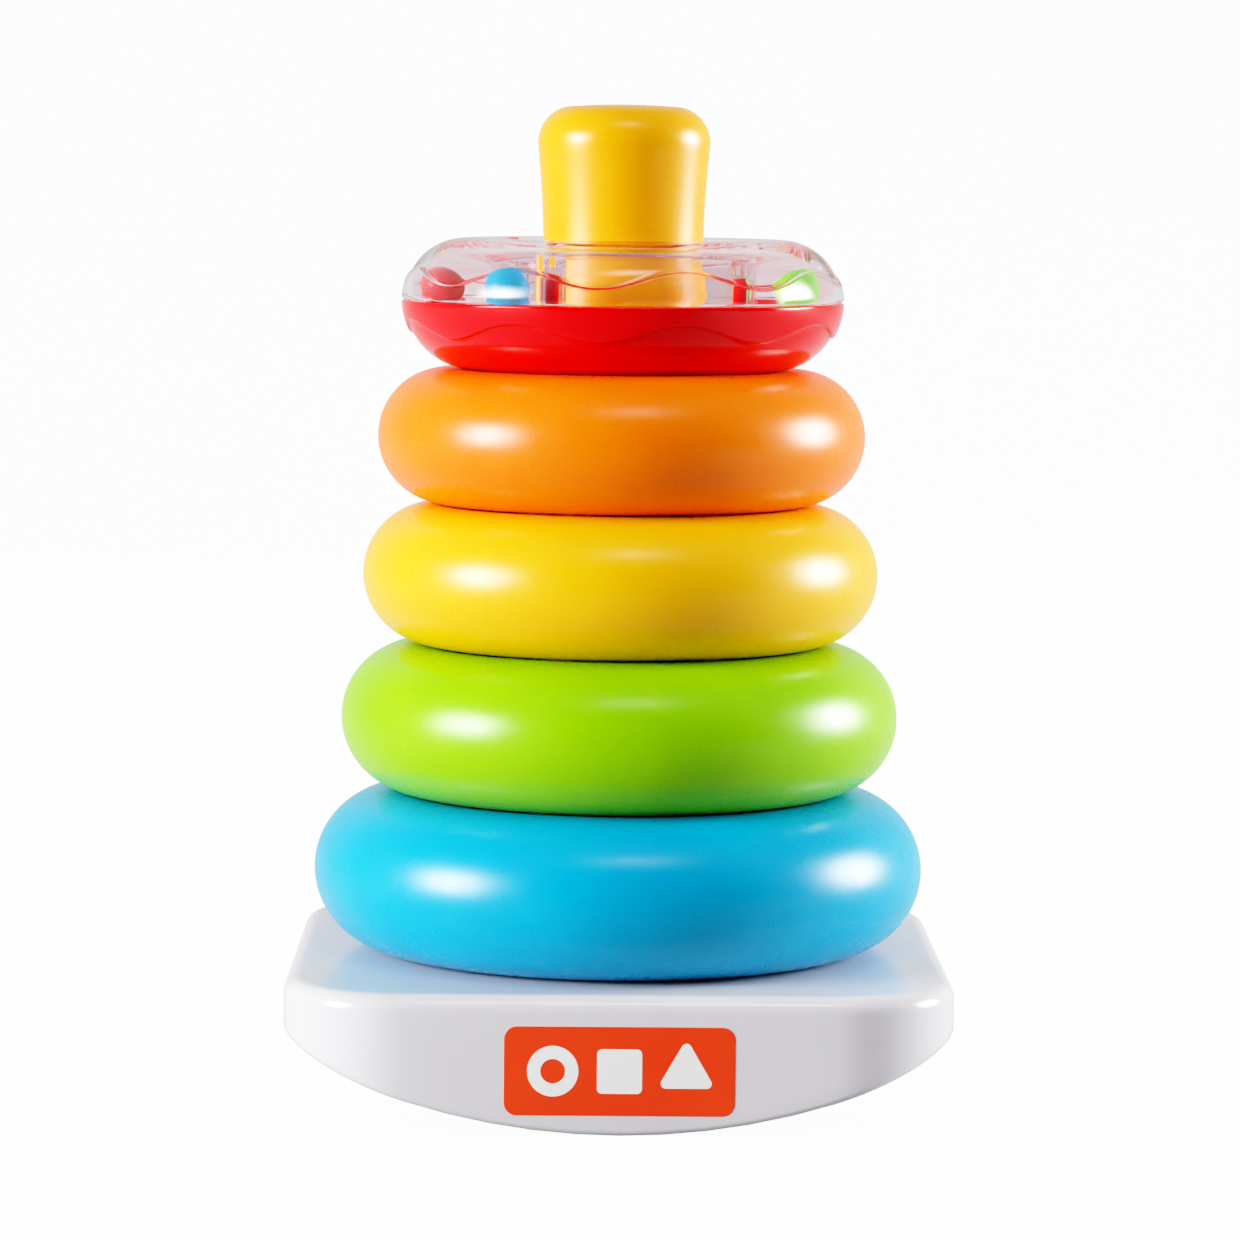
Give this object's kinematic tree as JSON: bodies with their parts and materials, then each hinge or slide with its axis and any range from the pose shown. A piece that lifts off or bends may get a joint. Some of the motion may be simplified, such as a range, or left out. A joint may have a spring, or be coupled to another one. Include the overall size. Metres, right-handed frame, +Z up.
{
  "type": "stacking ring toy",
  "caption": "Stacking toy: hollow plastic rings of falling size and a clear-topped bead rattle ring on a tapered post with a round knob, on a square rocker base.",
  "frame": {"origin": "below the middle of the post, on the surface that the rocker base stands on", "axes": "+Z up along the post, +X to the right, -Y out of the front that has the label"},
  "size_m": [0.1334, 0.1334, 0.2007],
  "materials": {
    "base_white": "satin",
    "post_yellow": "satin gloss",
    "ring_blue": "fine-grained satin",
    "ring_green": "fine-grained satin",
    "ring_yellow": "fine-grained satin",
    "ring_orange": "fine-grained satin",
    "rattle_red": "glossy",
    "clear_plastic": "clear, polished",
    "bead_red": "glossy",
    "bead_blue": "glossy",
    "bead_green": "glossy",
    "label_orange": "satin printed film",
    "screw_steel": "zinc-plated"
  },
  "bodies": {
    "base": {"base_shell": "base_white", "rocker_sole": "base_white", "sole_screw_1": "screw_steel", "sole_screw_2": "screw_steel", "sole_screw_3": "screw_steel", "sole_screw_4": "screw_steel", "post": "post_yellow", "post_screw_1": "screw_steel", "post_screw_2": "screw_steel", "post_screw_3": "screw_steel", "post_screw_4": "screw_steel", "front_label": "label_orange"},
    "blue_ring": {"ring_blue": "ring_blue"},
    "green_ring": {"ring_green": "ring_green"},
    "yellow_ring": {"ring_yellow": "ring_yellow"},
    "orange_ring": {"ring_orange": "ring_orange"},
    "rattle_ring": {"rattle_shell": "rattle_red", "bead_tray": "rattle_red", "clear_cover": "clear_plastic"},
    "red_bead": {"bead_red": "bead_red"},
    "blue_bead": {"bead_blue": "bead_blue"},
    "green_bead": {"bead_green": "bead_green"}
  },
  "joints": [
    {"name": "blue_ring_lift", "type": "slide", "parent": "base", "child": "blue_ring", "axis": [0, 0, 1], "range_m": [0, 0.18]},
    {"name": "green_ring_lift", "type": "slide", "parent": "blue_ring", "child": "green_ring", "axis": [0, 0, 1], "range_m": [0, 0.15]},
    {"name": "yellow_ring_lift", "type": "slide", "parent": "green_ring", "child": "yellow_ring", "axis": [0, 0, 1], "range_m": [0, 0.12]},
    {"name": "orange_ring_lift", "type": "slide", "parent": "yellow_ring", "child": "orange_ring", "axis": [0, 0, 1], "range_m": [0, 0.09]},
    {"name": "rattle_ring_lift", "type": "slide", "parent": "orange_ring", "child": "rattle_ring", "axis": [0, 0, 1], "range_m": [0, 0.065]},
    {"name": "red_bead_roll", "type": "hinge", "parent": "rattle_ring", "child": "red_bead", "pos_m": [0, 0, 0.16], "axis": [0, 0, 1], "range_deg": [-88, 8]},
    {"name": "blue_bead_roll", "type": "hinge", "parent": "rattle_ring", "child": "blue_bead", "pos_m": [0, 0, 0.16], "axis": [0, 0, 1], "range_deg": [-12, 45]},
    {"name": "green_bead_roll", "type": "hinge", "parent": "rattle_ring", "child": "green_bead", "pos_m": [0, 0, 0.16], "axis": [0, 0, 1], "range_deg": [-45, 100]}
  ]
}
